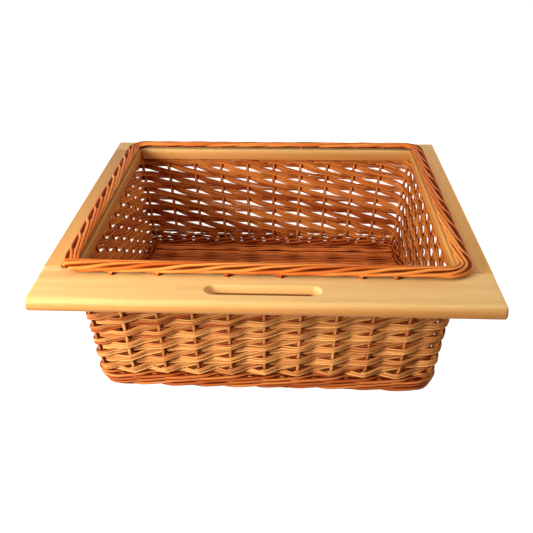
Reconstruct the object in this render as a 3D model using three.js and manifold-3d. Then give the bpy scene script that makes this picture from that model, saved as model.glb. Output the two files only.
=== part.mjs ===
// Pull-out storage basket: a woven willow basket hung in a flat beech frame with a finger groove.
// Millimetres, +Z up, front towards -Y, origin under the middle of the frame at the basket's underside.
import * as THREE from "three";
import { mergeVertices } from "three/addons/utils/BufferGeometryUtils.js";
import Module from "manifold-3d";

const wasm = await Module();
wasm.setup();

// Gap left where two pieces touch
const GAP = 0.3;

// Beech frame
const FRAME_WIDTH = 460;
const FRAME_DEPTH = 480;
const RAIL_THICKNESS = 15;
const FRONT_RAIL_DEPTH = 72;
const SIDE_RAIL_WIDTH = 36;
const BACK_RAIL_DEPTH = 32;
const NOSE_FLAT = 2;
const EDGE_EASE = 1;

// Finger groove, routed into the front rail with a round-nosed cutter
const GROOVE_LENGTH = 115;
const GROOVE_WIDTH = 20;
const GROOVE_DEPTH = 8;
const GROOVE_FROM_FRONT = 27;

// Dowels of the four butt joints
const DOWEL_RADIUS = 3;
const DOWEL_LENGTH = 30;
const DOWEL_FROM_EDGE = 8;
const DOWEL_SPACING = 11;

// Stakes: upright rods that stand in the base and pass through holes near the rails' inner edges.
// A stake stands at each corner, and the spaces of a long and a short side make a multiple of three for the wale.
const STAKE_SPACES_ACROSS = 10;
const STAKE_SPACES_ALONG = 11;
const STAKE_RADIUS = 2.25;
const HOLE_FROM_FRONT_RAIL_EDGE = 11;
const HOLE_FROM_SIDE_RAIL_EDGE = 7.5;
const HOLE_FROM_BACK_RAIL_EDGE = 11;
const STAKE_SEAT = 3;

// Basket shape: depth under the rails, plan corner, how far the wall draws in towards the base,
// and how much further the foot rounds in under the weavers
const BASKET_DEPTH = 135;
const CORNER_RADIUS = 24;
const TAPER = 16;
const FLARE = 0.7;
const WALL_LENGTHS = 3;
const FOOT_ROUND = 5;

// Woven base: the rods rise over and dip under sticks that run front to back, so it swells above and below each
// stick, and the swells' flats below are what the basket stands on
const BASE_THICKNESS = 7.4;
const BASE_OVERHANG = 5;
const STICK_PITCH = 30;
const SWELL = 2.2;
const SWELL_FLAT = 12;

// Three-strand wale that binds the stakes just above the base
const WALE_THICKNESS = 2.6;
const WALE_STRAND_HEIGHT = 4.4;
const WALE_STRAND_GAP = 0.8;

// Weavers: flat bundles of rods, one for each stake, that climb half a row at every stake they pass
const WEAVER_THICKNESS = 2.6;
const WEAVER_STAKES_CLIMBED = 13;

// Twisted border on top of the frame
const BORDER_WIDTH = 18;
const BORDER_HEIGHT = 9.5;
const BORDER_STRANDS = 6;
const BORDER_VALLEY = 1.1;

// Derived sizes
const STAKES = 2 * (STAKE_SPACES_ACROSS + STAKE_SPACES_ALONG);
const FRAME_TOP = BASKET_DEPTH + RAIL_THICKNESS;
const FRONT_RAIL_INNER = FRONT_RAIL_DEPTH - FRAME_DEPTH / 2;
const BACK_RAIL_INNER = FRAME_DEPTH / 2 - BACK_RAIL_DEPTH;
const SIDE_RAIL_INNER = FRAME_WIDTH / 2 - SIDE_RAIL_WIDTH;
const STAKE_FRONT = FRONT_RAIL_INNER - HOLE_FROM_FRONT_RAIL_EDGE;
const STAKE_BACK = BACK_RAIL_INNER + HOLE_FROM_BACK_RAIL_EDGE;
const STAKE_HALF_X = SIDE_RAIL_INNER + HOLE_FROM_SIDE_RAIL_EDGE;
const STAKE_HALF_Y = (STAKE_BACK - STAKE_FRONT) / 2;
const BASKET_MIDDLE = (STAKE_FRONT + STAKE_BACK) / 2;
const STRAIGHT_X = 2 * (STAKE_HALF_X - CORNER_RADIUS);
const STRAIGHT_Y = 2 * (STAKE_HALF_Y - CORNER_RADIUS);
const CORNER_ARC = (CORNER_RADIUS * Math.PI) / 2;
const WALE_STEP = WALE_STRAND_HEIGHT + WALE_STRAND_GAP;
const WALE_MIDDLE = BASE_THICKNESS + GAP + WALE_STEP + WALE_STRAND_HEIGHT / 2;
const WALE_TOP = WALE_MIDDLE + WALE_STEP + WALE_STRAND_HEIGHT / 2;

const beech = { color: 0xe3b878, roughness: 0.45, metalness: 0 };
const dowelBeech = { color: 0xd8b07a, roughness: 0.7, metalness: 0 };
const paleWillow = { color: 0xc98a4e, roughness: 0.55, metalness: 0 };
const redWillow = { color: 0xb5602c, roughness: 0.55, metalness: 0 };
const borderWillow = { color: 0xcf6a2c, roughness: 0.5, metalness: 0 };

const basket = new THREE.Group();
basket.name = "pull_out_basket";

function add(name, geometry, finish) {
  const mesh = new THREE.Mesh(geometry, new THREE.MeshStandardMaterial(finish));
  mesh.name = name;
  basket.add(mesh);
}

// How far the wall is drawn in at a height: nothing at the rails, the whole taper at the base.
// The wall falls in straight lengths, steeper towards the base, and the foot leans in from the wale's top.
function insetAt(height) {
  const down = THREE.MathUtils.clamp((BASKET_DEPTH - height) / BASKET_DEPTH, 0, 1) * WALL_LENGTHS;
  const above = Math.min(Math.floor(down), WALL_LENGTHS - 1);
  const drawnIn = (length) => TAPER * (length / WALL_LENGTHS) ** FLARE;
  const foot = FOOT_ROUND * THREE.MathUtils.clamp(1 - height / WALE_TOP, 0, 1);
  return THREE.MathUtils.lerp(drawnIn(above), drawnIn(above + 1), down - above) + foot;
}

// Point and outward direction on the stake line, counted in stakes from the middle of the front,
// counter-clockwise seen from above. Each side runs from the middle of one corner to the middle of the next.
// The straight runs shorten with the inset and the corners keep their radius.
function stakeLine(stakes, inset) {
  let left = THREE.MathUtils.euclideanModulo(stakes + STAKE_SPACES_ACROSS / 2, STAKES);
  let side = 0;
  let spaces = STAKE_SPACES_ACROSS;
  while (side < 3 && left >= spaces) {
    left -= spaces;
    side += 1;
    spaces = side % 2 === 0 ? STAKE_SPACES_ACROSS : STAKE_SPACES_ALONG;
  }
  const run = side % 2 === 0 ? STRAIGHT_X : STRAIGHT_Y;
  const along = (side % 2 === 0 ? STAKE_HALF_X : STAKE_HALF_Y) - inset - CORNER_RADIUS;
  const out = (side % 2 === 0 ? STAKE_HALF_Y : STAKE_HALF_X) - inset;
  const walked = (left / spaces) * (run + CORNER_ARC) - CORNER_ARC / 2;
  const straight = THREE.MathUtils.clamp(walked, 0, run);
  const turn = (walked - straight) / CORNER_RADIUS;
  const outward = new THREE.Vector2(Math.sin(turn), -Math.cos(turn));
  const point = new THREE.Vector2(((2 * straight) / run - 1) * along, CORNER_RADIUS - out);
  point.addScaledVector(outward, CORNER_RADIUS);
  const origin = new THREE.Vector2();
  const quarter = (side * Math.PI) / 2;
  point.rotateAround(origin, quarter);
  outward.rotateAround(origin, quarter);
  point.y += BASKET_MIDDLE;
  return { point, outward };
}

// Quarters of a space between two stakes where a rod has to bend: none on the straight, two beside a corner
function bendsAfter(stake) {
  const facing = (quarter) => stakeLine(stake + quarter / 4, 0).outward;
  const turns = (quarter) => facing(quarter).distanceTo(facing(quarter - 1)) > 0.1;
  return [1, 2, 3].filter((quarter) => turns(quarter) || turns(quarter + 1)).map((quarter) => quarter / 4);
}

// Easing from one side of the stakes to the other
function crossing(from, to, part) {
  return from + ((to - from) * (1 - Math.cos(part * Math.PI))) / 2;
}

// A closed skin over a row of matching outlines. A ring joins its last outline to its first, some points on.
function skin(outlines, ring = false, shift = 0) {
  const count = outlines[0].length;
  const faces = [];
  const spans = ring ? outlines.length : outlines.length - 1;
  for (let j = 0; j < spans; j++) {
    const next = (j + 1) % outlines.length;
    const turn = next === 0 ? shift : 0;
    for (let i = 0; i < count; i++) {
      const a = j * count + i;
      const b = j * count + ((i + 1) % count);
      const c = next * count + ((i + 1 + turn) % count);
      const d = next * count + ((i + turn) % count);
      faces.push(a, b, c, a, c, d);
    }
  }
  if (!ring) {
    const end = (outlines.length - 1) * count;
    for (let i = 1; i < count - 1; i++) {
      faces.push(0, i + 1, i, end, end + i, end + i + 1);
    }
  }
  const numbers = outlines.flat().flatMap((p) => [p.x, p.y, p.z]);
  const geometry = new THREE.BufferGeometry();
  geometry.setAttribute("position", new THREE.Float32BufferAttribute(numbers, 3));
  geometry.setIndex(faces);
  geometry.computeVertexNormals();
  return geometry;
}

function solidOf(geometry) {
  const bare = new THREE.BufferGeometry();
  bare.setAttribute("position", geometry.getAttribute("position"));
  bare.setIndex(geometry.getIndex());
  const merged = mergeVertices(bare, 1e-4);
  const mesh = new wasm.Mesh({
    numProp: 3,
    vertProperties: merged.getAttribute("position").array,
    triVerts: new Uint32Array(merged.getIndex().array),
  });
  return new wasm.Manifold(mesh);
}

function geometryOf(solid) {
  const mesh = solid.getMesh();
  const geometry = new THREE.BufferGeometry();
  geometry.setAttribute("position", new THREE.Float32BufferAttribute(mesh.vertProperties, 3));
  geometry.setIndex(new THREE.Uint32BufferAttribute(mesh.triVerts, 1));
  geometry.computeVertexNormals();
  return geometry;
}

// Six-sided rod that stands on the stake line at the given heights, drawn in as the wall is
function uprightRod(stake, radius, heights, inset = insetAt) {
  const outlines = heights.map((height) => {
    const { point, outward } = stakeLine(stake, inset(height));
    const facing = outward.angle();
    return Array.from({ length: 6 }, (_, i) => {
      const angle = facing + (i * Math.PI) / 3;
      return new THREE.Vector3(point.x + radius * Math.cos(angle), point.y + radius * Math.sin(angle), height);
    });
  });
  return skin(outlines);
}

// Stake holes through a rail, six-sided and wider than the stake by the gap on every flat
const HOLE_RADIUS = (STAKE_RADIUS + GAP) / Math.cos(Math.PI / 6);
const CUT_PAST = 1;
function stakeHole(stake) {
  const heights = [BASKET_DEPTH - CUT_PAST, FRAME_TOP + CUT_PAST];
  return solidOf(uprightRod(stake, HOLE_RADIUS, heights, () => 0));
}

// Rail section with rounded outer corners, extruded along the rail
function railSection(outer, inner, outerRadius) {
  const towards = Math.sign(inner - outer);
  const shape = new THREE.Shape();
  shape.moveTo(inner, BASKET_DEPTH);
  shape.lineTo(inner, FRAME_TOP);
  shape.lineTo(outer + towards * outerRadius, FRAME_TOP);
  const steps = outerRadius > EDGE_EASE ? 6 : 2;
  for (const top of [true, false]) {
    const middle = top ? FRAME_TOP - outerRadius : BASKET_DEPTH + outerRadius;
    for (let i = top ? 1 : 0; i <= steps; i++) {
      const turn = ((i / steps) * Math.PI) / 2;
      const reach = top ? Math.sin(turn) : Math.cos(turn);
      const rise = top ? Math.cos(turn) : -Math.sin(turn);
      shape.lineTo(outer + towards * outerRadius * (1 - reach), middle + outerRadius * rise);
    }
  }
  return shape;
}

function extruded(shape, length, axisX, axisY, origin) {
  const geometry = new THREE.ExtrudeGeometry(shape, { depth: length, bevelEnabled: false, steps: 1 });
  const axisZ = new THREE.Vector3().crossVectors(axisX, axisY);
  geometry.applyMatrix4(new THREE.Matrix4().makeBasis(axisX, axisY, axisZ));
  geometry.translate(origin.x, origin.y, origin.z);
  return geometry;
}

const X = new THREE.Vector3(1, 0, 0);
const Y = new THREE.Vector3(0, 1, 0);
const Z = new THREE.Vector3(0, 0, 1);

// Dowel or its hole, lying front to back in the middle of the rail's thickness
const dowelPlaces = [];
for (const [side, sign] of [["left", -1], ["right", 1]]) {
  for (const [end, joint] of [["front", FRONT_RAIL_INNER], ["back", BACK_RAIL_INNER]]) {
    for (const row of [0, 1]) {
      const x = sign * (FRAME_WIDTH / 2 - DOWEL_FROM_EDGE - row * DOWEL_SPACING);
      dowelPlaces.push({ name: `dowel_${end}_${side}_${row + 1}`, x, joint });
    }
  }
}
function dowel(place, extra) {
  const radius = (DOWEL_RADIUS + extra) / (extra > 0 ? Math.cos(Math.PI / 8) : 1);
  const geometry = new THREE.CylinderGeometry(radius, radius, DOWEL_LENGTH + 2 * extra, 8);
  geometry.translate(place.x, place.joint, BASKET_DEPTH + RAIL_THICKNESS / 2);
  return geometry;
}

// Finger groove: a round-nosed cutter drawn along the rail
function groove() {
  const halfWidth = GROOVE_WIDTH / 2;
  const radius = (halfWidth ** 2 + GROOVE_DEPTH ** 2) / (2 * GROOVE_DEPTH);
  const geometry = new THREE.CapsuleGeometry(radius, GROOVE_LENGTH - GROOVE_WIDTH, 4, 16);
  geometry.rotateZ(Math.PI / 2);
  geometry.translate(0, GROOVE_FROM_FRONT - FRAME_DEPTH / 2, FRAME_TOP - GROOVE_DEPTH + radius);
  return geometry;
}

// Cuts the stake and dowel holes that fall in a rail
function drilled(rail, extraCuts = []) {
  let solid = solidOf(rail);
  const box = solid.boundingBox();
  const inRail = (x, y) => x > box.min[0] && x < box.max[0] && y > box.min[1] && y < box.max[1];
  const cuts = [...extraCuts];
  for (let stake = 0; stake < STAKES; stake++) {
    const { point } = stakeLine(stake, 0);
    if (inRail(point.x, point.y)) cuts.push(stakeHole(stake));
  }
  for (const place of dowelPlaces) {
    const near = place.joint - DOWEL_LENGTH / 4;
    const far = place.joint + DOWEL_LENGTH / 4;
    if (inRail(place.x, near) || inRail(place.x, far)) cuts.push(solidOf(dowel(place, GAP)));
  }
  for (const cut of cuts) solid = solid.subtract(cut);
  return geometryOf(solid);
}

const noseRadius = (RAIL_THICKNESS - NOSE_FLAT) / 2;
const frontRail = extruded(
  railSection(-FRAME_DEPTH / 2, FRONT_RAIL_INNER, noseRadius),
  FRAME_WIDTH,
  Y,
  Z,
  new THREE.Vector3(-FRAME_WIDTH / 2, 0, 0),
);
const backRail = extruded(
  railSection(FRAME_DEPTH / 2, BACK_RAIL_INNER, EDGE_EASE),
  FRAME_WIDTH,
  Y,
  Z,
  new THREE.Vector3(-FRAME_WIDTH / 2, 0, 0),
);
add("front_rail", drilled(frontRail, [solidOf(groove())]), beech);
add("back_rail", drilled(backRail), beech);
for (const [side, sign] of [["left", -1], ["right", 1]]) {
  const sideRail = extruded(
    railSection((sign * FRAME_WIDTH) / 2, sign * SIDE_RAIL_INNER, EDGE_EASE),
    BACK_RAIL_INNER - FRONT_RAIL_INNER - 2 * GAP,
    X,
    Z,
    new THREE.Vector3(0, BACK_RAIL_INNER - GAP, 0),
  );
  add(`${side}_rail`, drilled(sideRail), beech);
}
for (const place of dowelPlaces) add(place.name, dowel(place, 0), dowelBeech);

// Base: woven mat that swells at its sticks, cut to the rounded outline of the foot, with the stakes standing in its rim
function footOutline() {
  const halfX = STAKE_HALF_X - insetAt(0) + BASE_OVERHANG;
  const halfY = STAKE_HALF_Y - insetAt(0) + BASE_OVERHANG;
  const radius = CORNER_RADIUS + BASE_OVERHANG;
  const shape = new THREE.Shape();
  shape.absarc(halfX - radius, halfY - radius, radius, 0, Math.PI / 2);
  shape.absarc(radius - halfX, halfY - radius, radius, Math.PI / 2, Math.PI);
  shape.absarc(radius - halfX, radius - halfY, radius, Math.PI, 1.5 * Math.PI);
  shape.absarc(halfX - radius, radius - halfY, radius, 1.5 * Math.PI, 2 * Math.PI);
  return shape;
}
function swollenMat() {
  const sticks = Math.ceil((STAKE_HALF_X - insetAt(0) + BASE_OVERHANG) / STICK_PITCH);
  const edges = [];
  for (let stick = -sticks; stick <= sticks; stick++) {
    for (const [across, dip] of [[-STICK_PITCH / 2, SWELL], [-SWELL_FLAT / 2, 0], [SWELL_FLAT / 2, 0]]) {
      edges.push(new THREE.Vector2(stick * STICK_PITCH + across, dip));
    }
  }
  const above = edges.map((edge) => new THREE.Vector2(edge.x, BASE_THICKNESS - edge.y)).reverse();
  const shape = new THREE.Shape([...edges, ...above]);
  const length = 2 * STAKE_HALF_Y;
  return extruded(shape, length, X, Z, new THREE.Vector3(0, BASKET_MIDDLE + STAKE_HALF_Y, 0));
}
const footGeometry = new THREE.ExtrudeGeometry(footOutline(), {
  depth: BASE_THICKNESS + CUT_PAST,
  bevelEnabled: false,
  curveSegments: 5,
});
footGeometry.translate(0, BASKET_MIDDLE, 0);
let cage = solidOf(swollenMat()).intersect(solidOf(footGeometry));
const stakeHeights = [BASE_THICKNESS - STAKE_SEAT, WALE_TOP];
for (let i = 1; i <= WALL_LENGTHS; i++) stakeHeights.push((i * BASKET_DEPTH) / WALL_LENGTHS);
stakeHeights.push(FRAME_TOP);
for (let stake = 0; stake < STAKES; stake++) {
  cage = cage.add(solidOf(uprightRod(stake, STAKE_RADIUS, stakeHeights)));
}
add("base_and_stakes", geometryOf(cage), paleWillow);

// Four-sided outline of a flat rod bundle at a place on the stake line, leaning as the wall does
function bundleOutline(pitches, height, offset, thickness, tall) {
  const corner = (outer, upper) => {
    const level = height + (upper * tall) / 2;
    const out = offset + (outer * thickness) / 2;
    const { point, outward } = stakeLine(pitches, insetAt(level));
    return new THREE.Vector3(point.x + outward.x * out, point.y + outward.y * out, level);
  };
  return [corner(1, 1), corner(1, -1), corner(-1, -1), corner(-1, 1)];
}

// Wale: each strand runs outside two stakes, low then high, and inside the third
const waleOffset = STAKE_RADIUS + GAP + WALE_THICKNESS / 2;
for (let strand = 0; strand < 3; strand++) {
  const out = (stake) => ((stake - strand + STAKES) % 3 === 0 ? -waleOffset : waleOffset);
  const rise = (stake) => [0, -WALE_STEP, WALE_STEP][(stake - strand + STAKES) % 3];
  const outlines = [];
  for (let stake = 0; stake < STAKES; stake++) {
    for (const part of [0, ...bendsAfter(stake)]) {
      const height = WALE_MIDDLE + THREE.MathUtils.lerp(rise(stake), rise(stake + 1), part);
      const offset = crossing(out(stake), out(stake + 1), part);
      outlines.push(bundleOutline(stake + part, height, offset, WALE_THICKNESS, WALE_STRAND_HEIGHT));
    }
  }
  add(`wale_strand_${strand + 1}`, skin(outlines, true), redWillow);
}

// Weavers: outside their own stake, inside the next, and so on upwards, filling the wall from wale to rail
const wallLow = WALE_TOP + GAP;
const wallHigh = BASKET_DEPTH - GAP;
const halfRow = (wallHigh - wallLow + GAP) / (WEAVER_STAKES_CLIMBED + 1);
const weaverTall = halfRow - GAP;
const weaverOffset = STAKE_RADIUS + GAP + WEAVER_THICKNESS / 2;
for (let weaver = 0; weaver < STAKES; weaver++) {
  const outlines = [];
  for (let step = 0; step <= WEAVER_STAKES_CLIMBED; step++) {
    const stake = weaver + step;
    const offset = step % 2 === 0 ? weaverOffset : -weaverOffset;
    const bends = step < WEAVER_STAKES_CLIMBED ? bendsAfter(stake) : [];
    for (const part of [0, ...bends]) {
      const height = wallLow + weaverTall / 2 + (step + part) * halfRow;
      const out = crossing(offset, -offset, part);
      outlines.push(bundleOutline(stake + part, height, out, WEAVER_THICKNESS, weaverTall));
    }
  }
  const number = String(weaver + 1).padStart(2, "0");
  add(`weaver_${number}`, skin(outlines), paleWillow);
}

// Border: strands twist from the outside over the top to the inside, one strand on for every stake
const borderMiddle = FRAME_TOP + GAP + BORDER_HEIGHT / 2;
const borderPoints = 2 * BORDER_STRANDS;
const borderOutlines = [];
for (let stake = 0; stake < STAKES; stake++) {
  const bends = bendsAfter(stake);
  for (const part of [0, ...(bends.length ? bends : [0.5])]) {
    const pitches = stake + part;
    const { point, outward } = stakeLine(pitches, 0);
    const twist = (pitches * 2 * Math.PI) / BORDER_STRANDS;
    const outline = [];
    for (let i = 0; i < borderPoints; i++) {
      const angle = twist - (i * Math.PI) / BORDER_STRANDS;
      const dip = i % 2 === 0 ? 0 : BORDER_VALLEY;
      const out = (BORDER_WIDTH / 2 - dip) * Math.cos(angle);
      const up = (BORDER_HEIGHT / 2 - dip) * Math.sin(angle);
      outline.push(new THREE.Vector3(point.x + outward.x * out, point.y + outward.y * out, borderMiddle + up));
    }
    borderOutlines.push(outline);
  }
}
const closingShift = THREE.MathUtils.euclideanModulo(-2 * STAKES, borderPoints);
add("border", skin(borderOutlines, true, closingShift), borderWillow);

export default basket;
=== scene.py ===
"""Pull-out storage basket: a beech frame with a finger groove, and a willow basket woven into it.

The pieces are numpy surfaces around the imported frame, whose boxes give the places. Lengths are metres, +Z
is up and the front faces -Y.
"""

import math

import bpy
import numpy as np
from mathutils import Matrix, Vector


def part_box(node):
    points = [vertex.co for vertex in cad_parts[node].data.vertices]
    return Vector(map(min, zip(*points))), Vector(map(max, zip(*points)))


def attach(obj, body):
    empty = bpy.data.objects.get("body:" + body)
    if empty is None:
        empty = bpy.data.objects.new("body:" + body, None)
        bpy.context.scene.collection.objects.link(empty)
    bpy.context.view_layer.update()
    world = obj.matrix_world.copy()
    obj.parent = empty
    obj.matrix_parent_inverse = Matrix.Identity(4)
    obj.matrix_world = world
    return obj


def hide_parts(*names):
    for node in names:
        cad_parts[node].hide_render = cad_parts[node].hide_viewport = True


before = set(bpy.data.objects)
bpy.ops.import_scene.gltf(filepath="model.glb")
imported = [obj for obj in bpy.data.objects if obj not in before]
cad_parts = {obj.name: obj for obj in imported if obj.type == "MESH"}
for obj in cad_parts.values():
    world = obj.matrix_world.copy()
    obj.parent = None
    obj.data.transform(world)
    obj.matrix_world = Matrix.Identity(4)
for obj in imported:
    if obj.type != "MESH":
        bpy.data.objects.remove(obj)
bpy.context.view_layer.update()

bl_info = {
    "name": "Pull-out Basket",
    "version": (1, 0, 0),
    "blender": (4, 5, 0),
    "location": "View3D > Sidebar > Basket",
    "description": "Builds a woven willow basket in a beech pull-out frame",
    "category": "Add Mesh",
}

MM = 0.001
BLACK, WHITE = (0, 0, 0), (1, 1, 1)
UP = np.array([0.0, 0.0, 1.0])
FRONT, LEFT = 0, 3  # sides of the stake line, numbered counter-clockwise from the front


# Settings


def settings(name):
    """One of the scene's property groups, by its short name."""
    return getattr(bpy.context.scene, "basket_" + name)


def length(name, description, millimetres):
    """A length property given in millimetres and stored in metres."""
    kind = {"unit": "LENGTH", "subtype": "DISTANCE", "precision": 5}
    return bpy.props.FloatProperty(name=name, description=description, default=millimetres * MM, **kind)


def number_of(name, description, default, least):
    """A whole number with a least value."""
    return bpy.props.IntProperty(name=name, description=description, default=default, min=least)


def angle_of(name, description, degrees):
    """An angle property that is stored in radians."""
    turn = math.radians(degrees)
    return bpy.props.FloatProperty(name=name, description=description, default=turn, subtype="ANGLE")


def colour(name, description, red, green, blue):
    """A colour property given by its screen values from 0 to 255 and stored linear."""
    screen = np.array([red, green, blue]) / 255
    linear = np.where(screen <= 0.04045, screen / 12.92, ((screen + 0.055) / 1.055) ** 2.4).tolist()
    kind = {"subtype": "COLOR", "min": 0, "max": 1}
    return bpy.props.FloatVectorProperty(name=name, description=description, default=linear, **kind)


class BasketRails(bpy.types.PropertyGroup):
    """Sizes of the rails that their boxes don't give."""

    nose_flat: length("Nose flat", "Flat left on the rounded front edge", 2)
    edge_ease: length("Edge ease", "Rounding of the rails' other edges", 1.0)
    end_ease: length("End ease", "Rounding of the front rail's ends", 2.4)
    joint_ease: length("Joint ease", "Rounding of the ends at a butt joint", 0.3)
    groove_length: length("Groove length", "Finger groove, end to end", 115)
    groove_width: length("Groove width", "Finger groove, across", 20)
    groove_depth: length("Groove depth", "Finger groove, below the rail's top", 8)
    groove_from_front: length("Groove from front", "Middle of the groove behind the front edge", 27)
    groove_lip: length("Groove lip", "Rounding of the groove's rim", 0.8)


class BasketWall(bpy.types.PropertyGroup):
    """Stake line, stakes, weavers and wale."""

    spaces_across: number_of("Spaces across", "Stake spaces of the front and back", 10, 2)
    spaces_along: number_of("Spaces along", "Stake spaces of each side", 11, 2)
    corner_radius: length("Corner radius", "Plan radius of the stake line's corners", 24)
    hole_front: length("Front holes", "Stake holes, from the front rail's inner edge", 11)
    hole_side: length("Side holes", "Stake holes, from the side rails' inner edges", 7.5)
    hole_back: length("Back holes", "Stake holes, from the back rail's inner edge", 11)
    taper: length("Taper", "Wall drawn in from the rails to the base", 16)
    foot_round: length("Foot round", "Rounding of the foot at the front and back", 2.5)
    foot_side: length("Foot side", "Rounding of the foot at the sides", 9)
    foot_height: length("Foot height", "Height where the foot starts to round in", 34)
    low_corner: length("Low corner", "Change of the corner radius down to the base", -3)
    stake_radius: length("Stake radius", "Radius of an upright rod", 2.25)
    weaver_rods: number_of("Weaver rods", "Rods in one weaver", 4, 1)
    weaver_rod_radius: length("Weaver rod radius", "Radius of a rod in a weaver", 1.22)
    weaver_swing: length("Weaver swing", "Reach of a weaver's rods off the stake line", 3.5)
    weaver_climb: number_of("Weaver climb", "Stakes that a weaver climbs past", 13, 2)
    wale_rows: number_of("Wale rows", "Rounds of three-strand wale", 3, 1)
    wale_rod_radius: length("Wale rod radius", "Radius of a wale rod", 1.9)
    wale_low: length("Wale low", "Height of the wale's lower edge", 2.2)
    wale_top: length("Wale top", "Height of the wale's upper edge", 16.4)


class BasketBase(bpy.types.PropertyGroup):
    """Woven base."""

    stick_radius: length("Stick radius", "Radius of the sticks that run front to back", 0.9)
    stick_pitch: length("Stick pitch", "Distance between the sticks", 30)
    rod_radius: length("Rod radius", "Radius of the rods woven across", 1.75)
    rod_pitch: length("Rod pitch", "Distance between the rods woven across", 2.7)
    overhang: length("Overhang", "Base past the stakes, under the wale", 3.5)


class BasketBorder(bpy.types.PropertyGroup):
    """Plaited border on top of the rails."""

    width: length("Width", "Border across", 18)
    height: length("Height", "Border above the rails, on average", 9.5)
    rod_radius: length("Rod radius", "Radius of a border rod", 2.05)
    spaces_travelled: bpy.props.FloatProperty(
        name="Spaces travelled", description="Stake spaces that one border rod covers", default=5.4, min=1
    )
    corner_less: length("Corner less", "Taken off the border's corner radius", 6)
    nub_length: length("Nub length", "Reach of the cut rod ends at the border's foot", 2.2)


class BasketFinish(bpy.types.PropertyGroup):
    """Colours of the wood and of the willow."""

    beech_light: colour("Beech light", "Pale wood between the grain lines", 238, 198, 132)
    beech_dark: colour("Beech dark", "Grain lines of the wood", 222, 172, 102)
    wall_light: colour("Wall light", "Palest rods of the wall", 255, 190, 112)
    wall_dark: colour("Wall dark", "Darkest rods of the wall", 156, 48, 12)
    base_light: colour("Base light", "Palest rods of the base", 255, 150, 78)
    base_dark: colour("Base dark", "Darkest rods of the base", 112, 38, 10)
    wale_light: colour("Wale light", "Palest rods of the foot", 244, 156, 84)
    wale_dark: colour("Wale dark", "Darkest rods of the foot", 168, 70, 28)
    border_light: colour("Border light", "Palest rods of the border", 255, 168, 84)
    border_dark: colour("Border dark", "Darkest rods of the border", 214, 98, 36)


class BasketStage(bpy.types.PropertyGroup):
    """Camera and floor."""

    camera_place: bpy.props.FloatVectorProperty(
        name="Camera", description="Its place", default=(0.0259, -0.8985, 0.5244), subtype="TRANSLATION"
    )
    camera_pitch: angle_of("Camera pitch", "Look below the horizon", 27.07)
    camera_yaw: angle_of("Camera yaw", "Turn to the left", 4.08)
    camera_roll: angle_of("Camera roll", "Tilt about its own axis", -0.94)
    camera_shift: bpy.props.FloatVectorProperty(
        name="Camera shift", description="Lens shift, in frame widths", default=(0.0516, 0.0039), size=2
    )
    focal_pixels: bpy.props.FloatProperty(
        name="Focal length", description="In pixels of a frame 533 pixels wide", default=801.4
    )
    floor_radius: length("Floor radius", "Radius of the round floor", 4000)


# Places on the wall

EARLY_TAPER = 0.58  # how much of the taper is taken early, near the rails
FOOT_POWER = 1.5  # how late the foot rounds in


def rail_underside():
    """Height of the rails' underside."""
    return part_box("front_rail")[0].z


def rail_top():
    """Height of the rails' top."""
    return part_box("front_rail")[1].z


def stake_rectangle():
    """Half width, half depth and middle of the stake line at the rails."""
    wall = settings("wall")
    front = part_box("front_rail")[1].y - wall.hole_front
    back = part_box("back_rail")[0].y + wall.hole_back
    half_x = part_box("right_rail")[0].x + wall.hole_side
    return half_x, (back - front) / 2, (back + front) / 2


def share_down(height):
    """Share of the way down from the rails' underside to the floor."""
    return np.clip(1 - height / rail_underside(), 0, 1)


def foot_share(height):
    """How far a height is into the foot: a power of its share of the way down from the foot's height."""
    return np.clip(1 - height / settings("wall").foot_height, 0, 1) ** FOOT_POWER


def inset_at(height, foot_round):
    """How far the wall is drawn in: with s the share down, taper times (s + early times (s - s squared)).

    The foot's rounding is added to it, times the foot's share.
    """
    down = share_down(height)
    leaning = (1 + EARLY_TAPER) * down - EARLY_TAPER * down**2
    return settings("wall").taper * leaning + foot_round * foot_share(height)


def stake_count():
    """Stakes in the whole ring."""
    wall = settings("wall")
    return 2 * (wall.spaces_across + wall.spaces_along)


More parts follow.
